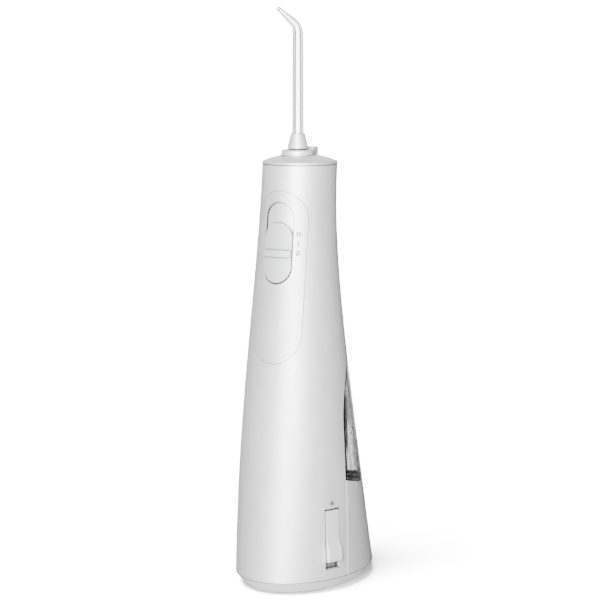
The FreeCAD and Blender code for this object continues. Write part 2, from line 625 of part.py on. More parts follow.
def make_eject_button():
    """The thumb tab behind the collar, with the leg that carries the fork."""
    def side(sketch):
        add_polygon(sketch, [
            ("{button_front}", "{button_shelf}"), ("{button_leg}", "{button_shelf}"),
            ("{button_leg}", "{button_foot}"), ("{button_back}", "{button_foot}"),
            ("{button_back}", "{button_top} - 1"), ("{button_back} - 0.3", "{button_top} - 0.3"),
            ("{button_back} - 1", "{button_top}"), ("{button_front}", "{button_top}")])
    tab = padded("button_tab", side, "2 * {button_half_width}")
    fork_seat = box("fork_seat", ("-{fork_half_width}", "{button_leg}", "{fork_foot}"),
                    ("{fork_half_width}", "{button_back} - 0.8", "{fork_top}"))
    subpart("eject_button", cut("eject_button", tab, fork_seat))
    plate = box("fork_plate", ("-{fork_half_width}", "{fork_end}", "{fork_foot}"),
                ("{fork_half_width}", "{button_back} - 0.8", "{fork_top}"))
    throat = join("fork_throat",
                  rod("fork_throat_end", "{fork_slot}", "9",
                      ("0", "{tip_axis} + {button_travel} + 0.2", "{fork_foot} - 3")),
                  box("fork_throat_way", ("-{fork_slot}", "-30", "{fork_foot} - 3"),
                      ("{fork_slot}", "{tip_axis} + {button_travel} + 0.2", "{fork_top} + 3")))
    subpart("eject_fork", cut("eject_fork", plate, throat))
    subpart("eject_spring", coil("eject_spring", "1.5", "0.3",
                                 "{button_leg} - ({tip_axis} + {socket_radius}) - 0.7", 5,
                                 ("0", "{tip_axis} + {socket_radius} + 0.35", "210.5"), ALONG_Y))


def coil(name, radius, wire, length, turns, at, turn=FLAT):
    """A coil spring of round wire."""
    helix = Part.makeHelix(number(length) / turns, number(length), number(radius))
    start = Vector(number(radius), 0, 0)
    ring = Part.Wire([Part.Circle(start, Vector(0, 1, 0), number(wire)).toShape()])
    item = doc.addObject("Part::Feature", name)
    item.Shape = Part.Wire(helix).makePipeShell([ring], True, True)
    item.Placement = Placement(Vector(*[number(text) for text in at]), turn)
    return item


# Charging port

def make_charge_port():
    """The framed recess, its hinged cover, the round jack and the charge light."""
    frame = common("frame_block", port_prism("frame_bar", "{frame_half_width}", "{frame_low}", "{frame_high}",
                                             "6", "{frame_depth}"), form("frame_reach", "{wall}"))
    pocket = port_prism("frame_pocket", "{port_half_width}", "{port_low}", "{port_high}", "9", "{port_floor}")
    jack_seat = port_rod("jack_seat", "{jack_radius}", "{jack_level}", "0", "20")
    trim = behind_seam("frame_trim", "{wall} + {running_gap} + {liner_gap}")
    subpart("charge_port_frame", carve("charge_port_frame", frame, pocket, jack_seat, trim))
    band = cut("cover_band", form("cover_outer", "-{cover_rise}"), form("cover_inner", "{cover_depth}"))
    lid = common("cover_lid", port_prism("cover_bar", "{cover_half_width}", "{cover_low}", "{cover_high}",
                                         "9", "4"), band)

    def bulge(sketch):
        add_polygon(sketch, [
            ("-0.3", "{cover_low}"), ("{cover_bulge} - 0.7", "{cover_low}"),
            ("{cover_bulge}", "{cover_low} + 0.9"), ("{cover_bulge}", "{cover_low} + 3.5"),
            ("{cover_bulge} - 0.4", "{cover_low} + 5.8"), ("0.3", "{cover_low} + 13"),
            ("-0.3", "{cover_low} + 13")])
    pull = port_side("cover_pull", bulge, "{cover_half_width}")

    def pin(sketch):
        add_circle(sketch, "-{cover_pin_depth}", "{cover_pin_level}", "{cover_pin_radius}")

    def pin_bore(sketch):
        add_circle(sketch, "-{cover_pin_depth}", "{cover_pin_level}", "{cover_pin_radius} + 0.05")
    subpart("charge_port_cover", cut("charge_port_cover", join("cover_whole", lid, pull),
                                     port_side("cover_bore", pin_bore, "{port_half_width} + 1")))
    subpart("cover_hinge_pin", port_side("cover_hinge_pin", pin, "{port_half_width} + 0.6"))
    subpart("charge_jack", cut("charge_jack", port_rod("jack_bar", "{jack_radius}", "{jack_level}",
                                                       "-{port_floor}", "{jack_depth}"),
                               port_rod("jack_way", "{jack_bore}", "{jack_level}", "0",
                                        "{jack_depth} - 1.5")))
    subpart("charge_pin", port_rod("charge_pin", "0.6", "{jack_level}", "-{port_floor} - 1.2",
                                   "{jack_depth} - 1.5"))
    subpart("charge_light_lens", common("charge_light_lens",
                                        port_rod("lens_bar", "{lens_radius}", "{lens_level}", "5", "2.2"),
                                        form("lens_face", "-0.1")))


# Reservoir

def make_reservoir():
    """The clear tank, the opaque lower part that carries its joint, and their gasket."""
    tank = common("tank_skin", cut("tank_walls", rear_core("tank_outer", "0"),
                                   rear_core("tank_inner", "{tank_wall}")),
                  above_joint("tank_above", "0"))
    nipple_hole = rod("tank_hole", "{nipple_radius}", "20", ("{duct_x}", "-18", "{duct_level}"), ALONG_Y)
    subpart("reservoir_tank", cut("reservoir_tank", tank, nipple_hole))
    inner = "{tank_wall} + {liner_gap}"
    neck_bore = "{tank_wall} + {liner_gap} + 1.8"
    skirt = common("lower_skirt", cut("lower_walls", rear_core("lower_outer", "0"),
                                      rear_core("lower_inner", "{wall}")),
                   below_joint("lower_below", "0"))
    floor = common("lower_floor", rear_core("floor_core", "{wall} / 2"),
                   box("floor_slice", ("-70", "-70", "{foot_level}"), ("70", "70", "{tank_floor}")))
    neck = common("lower_neck",
                  cut("neck_wall", rear_core("neck_outer", inner), rear_core("neck_inner", neck_bore)),
                  above_joint("neck_above", "-3"), below_joint("neck_below", "{collar_height}"))
    grooves = [common("gasket_%s" % side,
                      cut("gasket_wall_%s" % side, rear_core("gasket_outer_%s" % side, inner),
                          rear_core("gasket_inner_%s" % side, "{tank_wall} + {liner_gap} + 0.9")),
                      above_joint("gasket_above_%s" % side, low), below_joint("gasket_below_%s" % side, high))
               for side, low, high in (("low", "1.6", "2.9"), ("high", "3.8", "5.1"))]
    doorway = box("doorway", ("-{door_half_width} + {door_frame}", "{door_y} - 8",
                              "{door_pin_level} + 2 * {door_frame}"),
                  ("{door_half_width} - {door_frame}", "60", "{door_high} - {door_frame}"))
    door_seat = common("door_seat", door_bar("door_seat_bar", "{running_gap}"),
                       cut("door_seat_band", form("door_seat_outer", "-1", -90),
                           form("door_seat_inner", "{door_skin} + 0.1", -90)))
    pin_hole = hinge_rod("door_pin_hole", "{door_pin_radius}", "{door_half_width} + {lug_width}")
    barrel_seat = hinge_rod("door_barrel_seat", "{knuckle_radius} + {running_gap}", "{door_half_width}")
    frame = common("door_frame_block", cut("door_frame_band", form("door_frame_outer", "{wall} / 2", -90),
                                           form("door_frame_inner", "{door_frame_depth}", -90)),
                   box("door_frame_bar", ("-{door_half_width} - {lug_width}", "{door_y}",
                                          "{door_pin_level} - 4"),
                       ("{door_half_width} + {lug_width}", "60", "{door_high} + 2")))
    lugs = cut("door_lugs", hinge_rod("door_lug_bar", "{knuckle_radius}", "{door_half_width} + {lug_width}"),
               hinge_rod("door_lug_gap", "{knuckle_radius} + 1", "{door_half_width}"))
    whole = join("lower_whole", skirt, floor, neck, frame, lugs)
    subpart("reservoir_lower", carve("reservoir_lower", whole, doorway, door_seat, barrel_seat, pin_hole,
                                     *grooves))
    subpart("reservoir_gasket", group("reservoir_gasket", *grooves))
    sole = common("reservoir_sole", foot_form("sole_form", "0", "{base_level}"),
                  behind_seam("sole_behind", "-{seam_gap}"))
    hollow = common("sole_hollow", foot_form("sole_inner", "3", "{base_floor}"),
                    behind_seam("sole_wall", "-{seam_gap} - 3"))
    subpart("reservoir_sole", cut("reservoir_sole_shell", sole, hollow))


def door_bar(name, gap):
    """The outline of the filling door as a bar along +Y."""
    return box(name, ("-{door_half_width} + 0.3 - (%s)" % gap, "{door_y} - 4", "{door_pin_level}"),
               ("{door_half_width} - 0.3 + (%s)" % gap, "60", "{door_high} + (%s)" % gap))


def hinge_rod(name, radius, half_length):
    """A round bar on the filling door's hinge axis."""
    return rod(name, radius, "2 * (%s)" % half_length,
               ("-(%s)" % half_length, "{door_pin_y}", "{door_pin_level}"),
               ALONG_X)


def make_filling_door():
    """The flap at the back that swings down to let water in, its hinge barrel and its pin."""
    skin = common("door_skin", door_bar("door_bar", "0"),
                  cut("door_band", form("door_outer", "0", -90), form("door_inner", "{door_skin}", -90)))
    whole = join("door_whole", skin, hinge_rod("door_barrel", "{knuckle_radius}", "{door_half_width} - 0.3"))
    bore = hinge_rod("door_bore", "{door_pin_radius} + 0.05", "{door_half_width} + 3")
    subpart("filling_door", cut("filling_door", whole, bore))
    subpart("door_hinge_pin", hinge_rod("door_hinge_pin", "{door_pin_radius}",
                                        "{door_half_width} + {lug_width}"))


def make_suction_line():
    """The pick-up tube in the tank, its strainer, and the nipple that plugs into the housing."""
    at = ("{duct_x}", "0", "0")
    route = [("{duct_y}", "{duct_foot}"), ("{duct_y}", "{duct_level}"), ("-3", "{duct_level}")]
    subpart("pickup_tube", drilled_pipe("pickup_tube", UPRIGHT_X, at, route, "{duct_radius}", "{duct_bore}",
                                        ["{duct_bend}"]))
    nipple = new("PartDesign::Body", "outlet_nipple", ALONG_Y, ("{duct_x}", "0", "{duct_level}"))
    sketch = body_sketch(nipple, "nipple_profile")
    add_polygon(sketch, [("{duct_bore}", "-12"), ("{nipple_radius} - 0.4", "-12"),
                         ("{nipple_radius}", "-11.4"),
                         ("{nipple_radius}", "-2.4"), ("{nipple_radius} + 1", "-2.4"),
                         ("{nipple_radius} + 1", "-1"), ("{duct_radius}", "-1"),
                         ("{duct_radius}", "-3"), ("{duct_bore}", "-3")])
    doc.recompute()
    revolve = nipple.newObject("PartDesign::Revolution", "nipple_turning")
    revolve.Profile = sketch
    revolve.ReferenceAxis = (sketch, ["V_Axis"])
    revolve.Angle = 360
    subpart("outlet_nipple", nipple)
    subpart("pickup_strainer", turned("pickup_strainer", ("{duct_x}", "{duct_y}", "0"), [
        ("{duct_radius}", "{duct_foot} + 3"), ("{duct_radius} + 0.9", "{duct_foot} + 3"),
        ("{duct_radius} + 1.5", "{tank_floor} + 0.4"), ("{duct_radius} - 0.7", "{tank_floor} + 0.4"),
        ("{duct_radius} - 0.7", "{duct_foot}"), ("{duct_radius}", "{duct_foot}")]))
    block = join("elbow_block",
                 rod("elbow_barrel", "{nipple_radius} + 0.9", "12", ("{duct_x}", "-17", "{duct_level}"),
                     ALONG_Y),
                 rod("elbow_riser", "2.6", "8", ("{duct_x}", "-15", "{duct_level}")),
                 rod("elbow_barb", "{barb_radius}", "14", ("{duct_x}", "-15", "{duct_level}")))
    ways = join("elbow_ways",
                rod("elbow_socket", "{nipple_radius} + 0.05", "12", ("{duct_x}", "-12.5", "{duct_level}"),
                    ALONG_Y),
                rod("elbow_cross", "{barb_bore}", "6", ("{duct_x}", "-15", "{duct_level}"), ALONG_Y),
                rod("elbow_way", "{barb_bore}", "20", ("{duct_x}", "-15", "{duct_level}")))
    subpart("inlet_elbow", cut("inlet_elbow", cut("elbow_bored", block, ways),
                               behind_seam("elbow_seam", "{running_gap} + {wall}")))


# Drive train

def make_chassis():
    """The frame behind the gear with its three shelves: motor, bearing and cylinder."""
    plate = box("chassis_plate", ("-13.5", "{plate_front}", "57"), ("13.5", "{plate_back}", "122"))
    shelf = box("motor_shelf", ("-11", "-30", "57"), ("11", "{plate_back}", "{motor_foot}"))
    bearing = box("bearing_shelf", ("-11", "-30", "88.6"), ("11", "{plate_back}", "90"))
    deck = box("cylinder_deck", ("-8", "-28.6", "119.5"), ("8", "{plate_back}", "{cylinder_foot}"))
    shaft_hole = rod("bearing_hole", "3.2", "9", ("0", "{drive_y}", "85"))
    rod_hole = rod("deck_hole", "5", "9", ("0", "{drive_y}", "115"))
    axle_hole = rod("axle_hole", "{axle_radius}", "9", ("0", "-18", "{gear_level}"), ALONG_Y)
    screws = [rod("chassis_hole_%d" % index, "{screw_radius}", "9", (x, "-18", z), ALONG_Y)
              for index, (x, y, z) in enumerate(PLATE_SCREWS)]
    subpart("drive_chassis", cut("drive_chassis", join("chassis_whole", plate, shelf, bearing, deck),
                                 join("chassis_holes", shaft_hole, rod_hole, axle_hole, *screws)))
    subpart("gear_axle", join("gear_axle",
                              rod("axle_bar", "{axle_radius}", "6.6", ("0", "-19.6", "{gear_level}"),
                                  ALONG_Y),
                              rod("axle_head", "2.6", "0.6", ("0", "-19.6", "{gear_level}"), ALONG_Y)))


def make_motor():
    """The flat-sided motor can, its shaft and the ten-tooth pinion."""
    can = common("can_round", rod("can_barrel", "{motor_half_width}", "{motor_length}",
                                  ("0", "{drive_y}", "{motor_foot}")),
                 box("can_flats", ("-20", "{drive_y} - {motor_half_depth}", "{motor_foot}"),
                     ("20", "{drive_y} + {motor_half_depth}", "{motor_foot} + {motor_length}")))
    boss = rod("can_boss", "3", "1.5", ("0", "{drive_y}", "{motor_foot} + {motor_length}"))
    bore = rod("can_bore", "{shaft_radius} + 0.05", "40", ("0", "{drive_y}", "{motor_foot} + 20"))
    subpart("motor_can", cut("motor_can", join("can_whole", can, boss), bore))
    subpart("motor_shaft", rod("motor_shaft", "{shaft_radius}", "{shaft_top} - {motor_foot} - 21",
                               ("0", "{drive_y}", "{motor_foot} + 21")))
    wheel = new("PartDesign::Body", "motor_pinion", at=("0", "{drive_y}", "{pinion_foot}"))
    hub = body_sketch(wheel, "pinion_hub_outline", "XY_Plane")
    add_circle(hub, "0", "0", "{pinion_root}")
    add_circle(hub, "0", "0", "{shaft_radius}")
    doc.recompute()
    pad = wheel.newObject("PartDesign::Pad", "pinion_hub")
    pad.Profile = hub
    pad.setExpression("Length", rule("{pinion_length}"))
    tooth = body_sketch(wheel, "pinion_tooth_outline", "XY_Plane")
    add_polygon(tooth, [("-0.62", "{pinion_root} - 0.25"), ("0.62", "{pinion_root} - 0.25"),
                        ("0.42", "{pinion_root} + 0.6"), ("0.17", "{pinion_tip}"),
                        ("-0.17", "{pinion_tip}"), ("-0.42", "{pinion_root} + 0.6")])
    doc.recompute()
    first = wheel.newObject("PartDesign::Pad", "pinion_tooth")
    first.Profile = tooth
    first.setExpression("Length", rule("{pinion_length}"))
    doc.recompute()
    ring = wheel.newObject("PartDesign::PolarPattern", "pinion_teeth")
    ring.Originals = [first]
    ring.Axis = (hub, ["N_Axis"])
    ring.Angle = 360
    ring.Occurrences = int(number("{pinion_teeth}"))
    wheel.Tip = ring
    subpart("motor_pinion", wheel)


def make_drive_gear():
    """The face gear: a disc with a ring of radial teeth on its front, and its crank pin."""
    wheel = new("PartDesign::Body", "drive_gear", at=("0", "{gear_back}", "{gear_level}"))
    disc = body_sketch(wheel, "gear_disc_outline")
    add_circle(disc, "0", "0", "{gear_radius}")
    add_circle(disc, "0", "0", "{axle_radius} + 0.05")
    doc.recompute()
    pad = wheel.newObject("PartDesign::Pad", "gear_disc")
    pad.Profile = disc
    pad.setExpression("Length", rule("{gear_back} - {gear_front}"))
    tooth = body_sketch(wheel, "gear_tooth_outline")
    add_polygon(tooth, [("-{tooth_width} / 2", "{tooth_inner}"), ("{tooth_width} / 2", "{tooth_inner}"),
                        ("{tooth_width} / 2", "{tooth_outer}"), ("-{tooth_width} / 2", "{tooth_outer}")])
    tooth.AttachmentOffset = Placement(Vector(), Rotation(Vector(0, 0, 1), 180 / SIZES["gear_teeth"]))
    doc.recompute()
    first = wheel.newObject("PartDesign::Pad", "gear_tooth")
    first.Profile = tooth
    first.setExpression("Length", rule("{gear_back} - {gear_front} + {tooth_tip}"))
    doc.recompute()
    ring = wheel.newObject("PartDesign::PolarPattern", "gear_teeth")
    ring.Originals = [first]
    ring.Axis = (disc, ["N_Axis"])
    ring.Angle = 360
    ring.Occurrences = int(number("{gear_teeth}"))
    wheel.Tip = ring
    pin_length = "{gear_front} - {crank_pin_end} + 2"
    pin = rod("crank_pin", "{crank_pin_radius}", pin_length,
              ("0", "{crank_pin_end}", "{gear_level} + {crank_radius}"), ALONG_Y)
    subpart("crank_pin", pin)
    seat = rod("crank_pin_seat", "{crank_pin_radius}", "2",
               ("0", "{gear_front}", "{gear_level} + {crank_radius}"),
               ALONG_Y)
    subpart("drive_gear", cut("drive_gear_bored", wheel, seat))


def make_piston():
    """The connecting rod, wrist pin, piston and its seal at the top of the stroke."""
    wrist = "{gear_level} + {crank_radius} + {rod_length}"
    crank = "{gear_level} + {crank_radius}"

    bar = box("rod_bar", ("-{rod_half_width}", "{drive_y} - {rod_half_depth}", crank + " + 2"),
              ("{rod_half_width}", "{drive_y} + {rod_half_depth}", wrist + " - 1.6"))
    eyes = [rod("rod_eye_" + end, radius, "2 * {rod_half_depth}",
                ("0", "{drive_y} - {rod_half_depth}", level), ALONG_Y)
            for end, radius, level in (("big", "{rod_big_radius}", crank),
                                       ("small", "{rod_small_radius}", wrist))]
    bores = [rod("rod_bore_" + end, radius, "10", ("0", "{drive_y} - 5", level), ALONG_Y)
             for end, radius, level in (("big", "{crank_pin_radius} + 0.1", crank),
                                        ("small", "{wrist_radius} + 0.05", wrist))]
    subpart("connecting_rod", cut("connecting_rod", join("rod_whole", bar, *eyes), join("rod_bores", *bores)))
    pin = rod("wrist_pin", "{wrist_radius}", "7.2", ("0", "{drive_y} - 3.6", wrist), ALONG_Y)
    subpart("wrist_pin", pin)
    body = turned("piston_turned", ("0", "{drive_y}", wrist), [
        ("0", "2.7"), ("{piston_bore}", "2.7"), ("{piston_bore}", "-3"), ("{piston_radius}", "-3"),
        ("{piston_radius}", "4.6"), ("{piston_radius} - 0.8", "4.6"), ("{piston_radius} - 0.8", "5.8"),
        ("{piston_radius}", "5.8"), ("{piston_radius}", "7"), ("0", "7")])
    pin_bore = rod("piston_pin_bore", "{wrist_radius}", "7.2", ("0", "{drive_y} - 3.6", wrist), ALONG_Y)
    subpart("piston", cut("piston", body, pin_bore))
    subpart("piston_seal", turned("piston_seal", ("0", "{drive_y}", wrist), [
        ("{piston_radius} - 0.8", "4.7"), ("{piston_radius}", "4.7"), ("{piston_radius} + 0.02", "5.7"),
        ("{piston_radius} - 0.8", "5.7")]))


def make_pump():
    """The cylinder, the head with its two ways, the outlet valve and both hoses."""
    at = ("0", "{drive_y}", "0")
    subpart("pump_cylinder", turned("pump_cylinder", at, [
        ("{cylinder_bore}", "{cylinder_foot}"), ("{cylinder_radius}", "{cylinder_foot}"),
        ("{cylinder_radius}", "{head_foot}"), ("{cylinder_bore}", "{head_foot}")]))
    block = join("head_block",
                 rod("head_round", "{cylinder_radius}", "{head_top} - {head_foot}",
                     ("0", "{drive_y}", "{head_foot}")),
                 box("head_box", ("-6", "{drive_y}", "{head_foot}"), ("6", "-12.5", "{head_top}")),
                 rod("head_inlet_barb", "{barb_radius}", "6", ("5.5", "-15", "{head_foot} + 2"), ALONG_X),
                 rod("head_outlet_barb", "{barb_radius}", "7", ("0", "-15.5", "{head_top} - 1")))
    ways = join("head_ways",
                rod("head_recess", "3", "3.5", ("0", "{drive_y}", "{head_foot}")),
                rod("head_cross", "{barb_bore}", "7.5", ("0", "{drive_y}", "{head_foot} + 2"), ALONG_Y),
                rod("head_inlet_way", "{barb_bore}", "15", ("0", "-15", "{head_foot} + 2"), ALONG_X),
                rod("valve_seat_way", "1", "2", ("0", "{drive_y}", "{head_foot} + 3")),
                rod("valve_chamber", "1.9", "3.8", ("0", "{drive_y}", "{head_foot} + 5")),
                rod("head_outlet_cross", "{barb_bore}", "7", ("0", "{drive_y}", "{head_foot} + 7.4"),
                    ALONG_Y),
                rod("head_outlet_way", "{barb_bore}", "12", ("0", "-15.5", "{head_foot} + 7.4")))
    subpart("pump_head", cut("pump_head", block, ways))
    subpart("outlet_valve_ball", new("Part::Sphere", "outlet_valve_ball",
                                     at=("0", "{drive_y}", "{head_foot} + 6.55"), Radius="1.5"))
    subpart("inlet_hose", drilled_pipe("inlet_hose", UPRIGHT_Y, ("0", "-15", "0"), [
        ("{duct_x}", "{duct_level} + 9"), ("{duct_x}", "{duct_level} + 21"),
        ("16.5", "{head_foot} + 2"), ("7", "{head_foot} + 2")], "{barb_radius} + 0.65", "{barb_radius}",
        ["14", "4.6"]))
    subpart("outlet_hose", drilled_pipe("outlet_hose", UPRIGHT_X, ("0", "0", "0"), [
        ("-15.5", "{head_top} + 0.5"), ("-15.5", "{head_top} + 14"), ("{tip_axis}", "{head_top} + 31"),
        ("{tip_axis}", "{socket_level} - 2.4")], "{barb_radius} + 0.65", "{barb_radius}", ["14", "14"]))


# Electrics and fasteners

def make_electrics():
    """Two round cells in a cradle, their straps, the circuit board and the switch sensor board."""
    seats = [rod("cell_seat_%d" % index, "{cell_radius} + {liner_gap}", "60", (x, "{cell_y}", "{cell_foot}"))
             for index, x in enumerate(CELL_X)]
    screw_ways = [rod("cradle_hole_" + side, "{screw_radius}", "10", (x, "{cell_y}", "0"))
                  for side, x in BASE_SCREWS]
    boss_ways = [rod("cradle_boss_way_" + side, "{boss_radius} + {running_gap}", "{foot_level}",
                     (x, "{cell_y}", "0"))
                 for side, x in BASE_SCREWS]
    block = join("cradle_block",
                 box("cradle_tray", ("-16.4", "{cell_y} - 6.4", "{base_floor} + 0.8"),
                     ("16.4", "{cell_y} + 6.4", "14")),
                 box("cradle_ears", ("-20.8", "{cell_y} - 2.8", "{foot_level}"),
                     ("20.8", "{cell_y} + 2.8", "10")))
    subpart("battery_cradle", carve("battery_cradle", block, *seats, *screw_ways, *boss_ways))
    cells = [join("cell_%d" % index,
                  rod("cell_can_%d" % index, "{cell_radius}", "{cell_length} - 1.2",
                      (x, "{cell_y}", "{cell_foot}")),
                  rod("cell_cap_%d" % index, "2.7", "{cell_length}", (x, "{cell_y}", "{cell_foot}")))
             for index, x in enumerate(CELL_X)]
    subpart("battery_cells", group("battery_cells", *cells))
    subpart("battery_strap", box("battery_strap", ("-12", "{cell_y} - 2", "{cell_foot} + {cell_length}"),
                                 ("12", "{cell_y} + 2", "{cell_foot} + {cell_length} + 0.3")))
    board = box("board_plate", ("-12", "{board_y}", "14"), ("12", "{board_y} + {board_thick}", "52"))
    chips = [box("board_chip_%d" % index, (x, "{board_y} + {board_thick}", z),
                 ("%s + %s" % (x, width), "{board_y} + {board_thick} + 1.4", "%s + %s" % (z, tall)))
             for index, (x, z, width, tall) in enumerate((("-8", "20", "6", "6"), ("3", "18", "5", "8"),
                                                          ("-4", "34", "9", "5"), ("4", "44", "4", "4")))]
    subpart("circuit_board", join("circuit_board", board, *chips))
    sensor = box("sensor_plate", ("-6", "-20.4", "160"), ("6", "-19.2", "193.9"))
    spot = box("sensor_spot", ("-2", "-20.9", "172"), ("2", "-20.4", "175"))
    subpart("switch_sensor_board", join("switch_sensor_board", sensor, spot))


CELL_X = ("-{cell_x}", "{cell_x}")


def make_screws():
    """Self-tapping screws: two up through the base, four through the rear plate."""
    base = [screw("base_screw_" + side, (x, "{cell_y}", "{base_level} + 0.6")) for side, x in BASE_SCREWS]
    subpart("base_screws", group("base_screws", *base))
    plate = [screw("plate_screw_%d" % index, at, UPRIGHT_Y) for index, at in enumerate(PLATE_SCREWS)]
    subpart("plate_screws", group("plate_screws", *plate))


def screw(name, at, turn=FLAT):
    """One screw with a flat round head, pointing up unless turned."""
    return turned(name, at, [
        ("0", "0"), ("{screw_head}", "0"), ("{screw_head}", "{screw_head_height}"),
        ("{screw_radius}", "{screw_head_height}"), ("{screw_radius}", "7.2"),
        ("{screw_radius} - 0.5", "8"), ("0", "8")], turn=turn)


def check_objects():
    """Stop if anything failed to build or a sub-part's shape is empty or invalid."""
    failed = [item.Label for item in doc.Objects if {"Invalid", "Error"} & set(item.State)]
    if failed:
        raise RuntimeError("not built: " + ", ".join(failed))
    for node, item in SUBPARTS.items():
        if item.Shape.isNull() or not item.Shape.isValid() or item.Shape.Volume <= 0:
            raise RuntimeError("bad shape: " + node)


def write_parts():
    os.makedirs("parts", exist_ok=True)
    for node, item in SUBPARTS.items():
        item.Shape.exportStep("parts/%s.step" % node)
        print("%-22s %9.1f mm3 in %d solid(s)" % (node, item.Shape.Volume, len(item.Shape.Solids)))


def build():
    for make in (make_main_shell, make_control_panel, make_slide_switch, make_rear_plate, make_base_cap,
                 make_feet, make_top_cap, make_tip_rotator, make_tip_collar, make_jet_tip, make_outlet_socket,
                 make_eject_button, make_charge_port, make_reservoir, make_filling_door, make_suction_line,
                 make_chassis, make_motor, make_drive_gear, make_piston, make_pump, make_electrics,
                 make_screws):
        make()
    doc.recompute()
    check_objects()
    write_parts()


build()
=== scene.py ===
"""Looks of the cordless water flosser: materials, the switch's printed marks, light, floor and camera."""
import json
import math

import bmesh
import bpy
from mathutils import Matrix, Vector
from mathutils.bvhtree import BVHTree


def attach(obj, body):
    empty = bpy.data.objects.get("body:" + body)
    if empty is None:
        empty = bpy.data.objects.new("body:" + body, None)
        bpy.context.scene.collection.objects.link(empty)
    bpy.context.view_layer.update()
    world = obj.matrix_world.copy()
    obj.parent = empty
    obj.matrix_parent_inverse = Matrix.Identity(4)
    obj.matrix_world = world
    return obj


MM = 0.001

# Camera, in metres and degrees
CAMERA_AT = Vector((0.49834, -0.88848, 0.28351))
CAMERA_AZIMUTH = 29.43
CAMERA_DIP = 7.69
CAMERA_LENS = 119.1

# Plastic colours, linear
WHITE = (0.86, 0.86, 0.86, 1)
OFF_WHITE = (0.74, 0.75, 0.76, 1)
PANEL_WHITE = (0.84, 0.84, 0.845, 1)
SLIDER_GREY = (0.62, 0.63, 0.64, 1)
MARK_GREY = (0.05, 0.05, 0.055, 1)
# painted shade: the charge port's well is dark grey for the shade that falls in its recess
PAINTED_SHADE_GREY = (0.16, 0.16, 0.165, 1)

# Surface detail: grain in features per metre; painted shade: the width of joint that turns dark, and how
# dark it turns
GRAIN_SCALE = 5000.0
PAINTED_SHADE_REACH = 1.2 * MM
PAINTED_SHADE_DARK = 0.06

# Clear plastic: noise span that makes its streaks, painted light and dark in its tint as reflections, and
# the facing span over which painted shade darkens its edges
STREAK_SPAN = (0.38, 0.62)
EDGE_SHADE_SPAN = (0.45, 0.9)
EDGE_SHADE_BLEND = 0.35
EDGE_SHADE_SHARE = 0.25

# Printed marks: middle of the column, levels from the floor, line width and height above the panel
MARK_X = 10.35 * MM
MARK_HIGH_LEVEL = 182.85 * MM
MARK_LOW_LEVEL = 178.05 * MM
MARK_OFF_LEVEL = 173.4 * MM
MARK_LINE = 0.6 * MM
MARK_RING_LINE = 0.5 * MM
MARK_SPREAD = 0.6 * MM
MARK_LIFT = 0.03 * MM

# World: strengths of the white background, the dim room, what clear plastic sees sideways, and the table
BACKGROUND = 16.0
FILL = 0.14
SIDE_ROOM = 0.5
TABLE_LIGHT = 2.4
BEHIND_SPAN = (0.92, 0.985)
TABLE_SPAN = (-0.85, -0.25)

# Lights and floor: softboxes as place, width, height and power; the floor's own light as direction
SOFTBOXES = {"front_softbox": ((0.45, -1.11, 0.45), 0.3, 0.9, 74),
             "back_softbox": ((-0.6, 1.05, 0.8), 0.5, 0.5, 5)}
LIGHT_AIM = (0, 0, 0.14)
FLOOR_LIGHT_HEADING = (0.1, 0.42, -0.9)
FLOOR_LIGHT_ENERGY = 70
FLOOR_LIGHT_ANGLE = 30
FLOOR_GLOW = 0.15
FLOOR_RADIUS = 6

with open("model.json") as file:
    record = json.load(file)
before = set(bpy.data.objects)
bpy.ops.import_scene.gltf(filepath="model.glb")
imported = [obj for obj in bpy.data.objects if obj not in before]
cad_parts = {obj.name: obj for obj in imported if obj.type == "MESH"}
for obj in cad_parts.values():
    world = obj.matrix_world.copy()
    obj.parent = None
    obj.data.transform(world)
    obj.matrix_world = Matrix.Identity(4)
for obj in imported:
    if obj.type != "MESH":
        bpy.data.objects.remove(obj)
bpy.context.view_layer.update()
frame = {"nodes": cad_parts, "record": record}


# Materials

def new_material(name):
    """An empty node material with its shader; returns the material, its tree and the shader."""
    material = bpy.data.materials.new(name)
    material.use_nodes = True
    tree = material.node_tree
    return material, tree, tree.nodes["Principled BSDF"]


def noise(tree, scale, detail=3.0, roughness=0.5, stretch=(1, 1, 1)):
    """Noise laid out in the object's own metres; scale is in features per metre."""
    place = tree.nodes.new("ShaderNodeTexCoord")
    mapping = tree.nodes.new("ShaderNodeMapping")
    mapping.inputs["Scale"].default_value = stretch
    texture = tree.nodes.new("ShaderNodeTexNoise")
    texture.inputs["Scale"].default_value = scale
    texture.inputs["Detail"].default_value = detail
    texture.inputs["Roughness"].default_value = roughness
    tree.links.new(place.outputs["Object"], mapping.inputs["Vector"])
    tree.links.new(mapping.outputs["Vector"], texture.inputs["Vector"])
    return texture.outputs["Fac"]


def ramp(tree, factor, low, high):
    """Map a noise value to a value or a colour between low and high."""
    kind = "ShaderNodeMapRange" if isinstance(low, float) else "ShaderNodeMix"
    node = tree.nodes.new(kind)
    if kind == "ShaderNodeMapRange":
        node.inputs["From Min"].default_value = 0.3
        node.inputs["From Max"].default_value = 0.7
        node.inputs["To Min"].default_value = low
        node.inputs["To Max"].default_value = high
        tree.links.new(factor, node.inputs["Value"])
        return node.outputs["Result"]
    node.data_type = "RGBA"
    node.inputs[6].default_value = low
    node.inputs[7].default_value = high
    tree.links.new(factor, node.inputs[0])
    return node.outputs[2]


def tinted(colour, share):
    """A colour made lighter or darker by a share of itself."""
    return tuple(min(1.0, value * share) for value in colour[:3]) + (1,)


def add_surface(tree, shader, height, distance, edge):
    """Fine bump from a noise value, over edges softened by the radius edge."""
    bump = tree.nodes.new("ShaderNodeBump")
    bump.inputs["Strength"].default_value = 1.0
    bump.inputs["Distance"].default_value = distance
    tree.links.new(height, bump.inputs["Height"])
    if edge:
        bevel = tree.nodes.new("ShaderNodeBevel")
        bevel.samples = 4
        bevel.inputs["Radius"].default_value = edge
        tree.links.new(bevel.outputs["Normal"], bump.inputs["Normal"])
    tree.links.new(bump.outputs["Normal"], shader.inputs["Normal"])


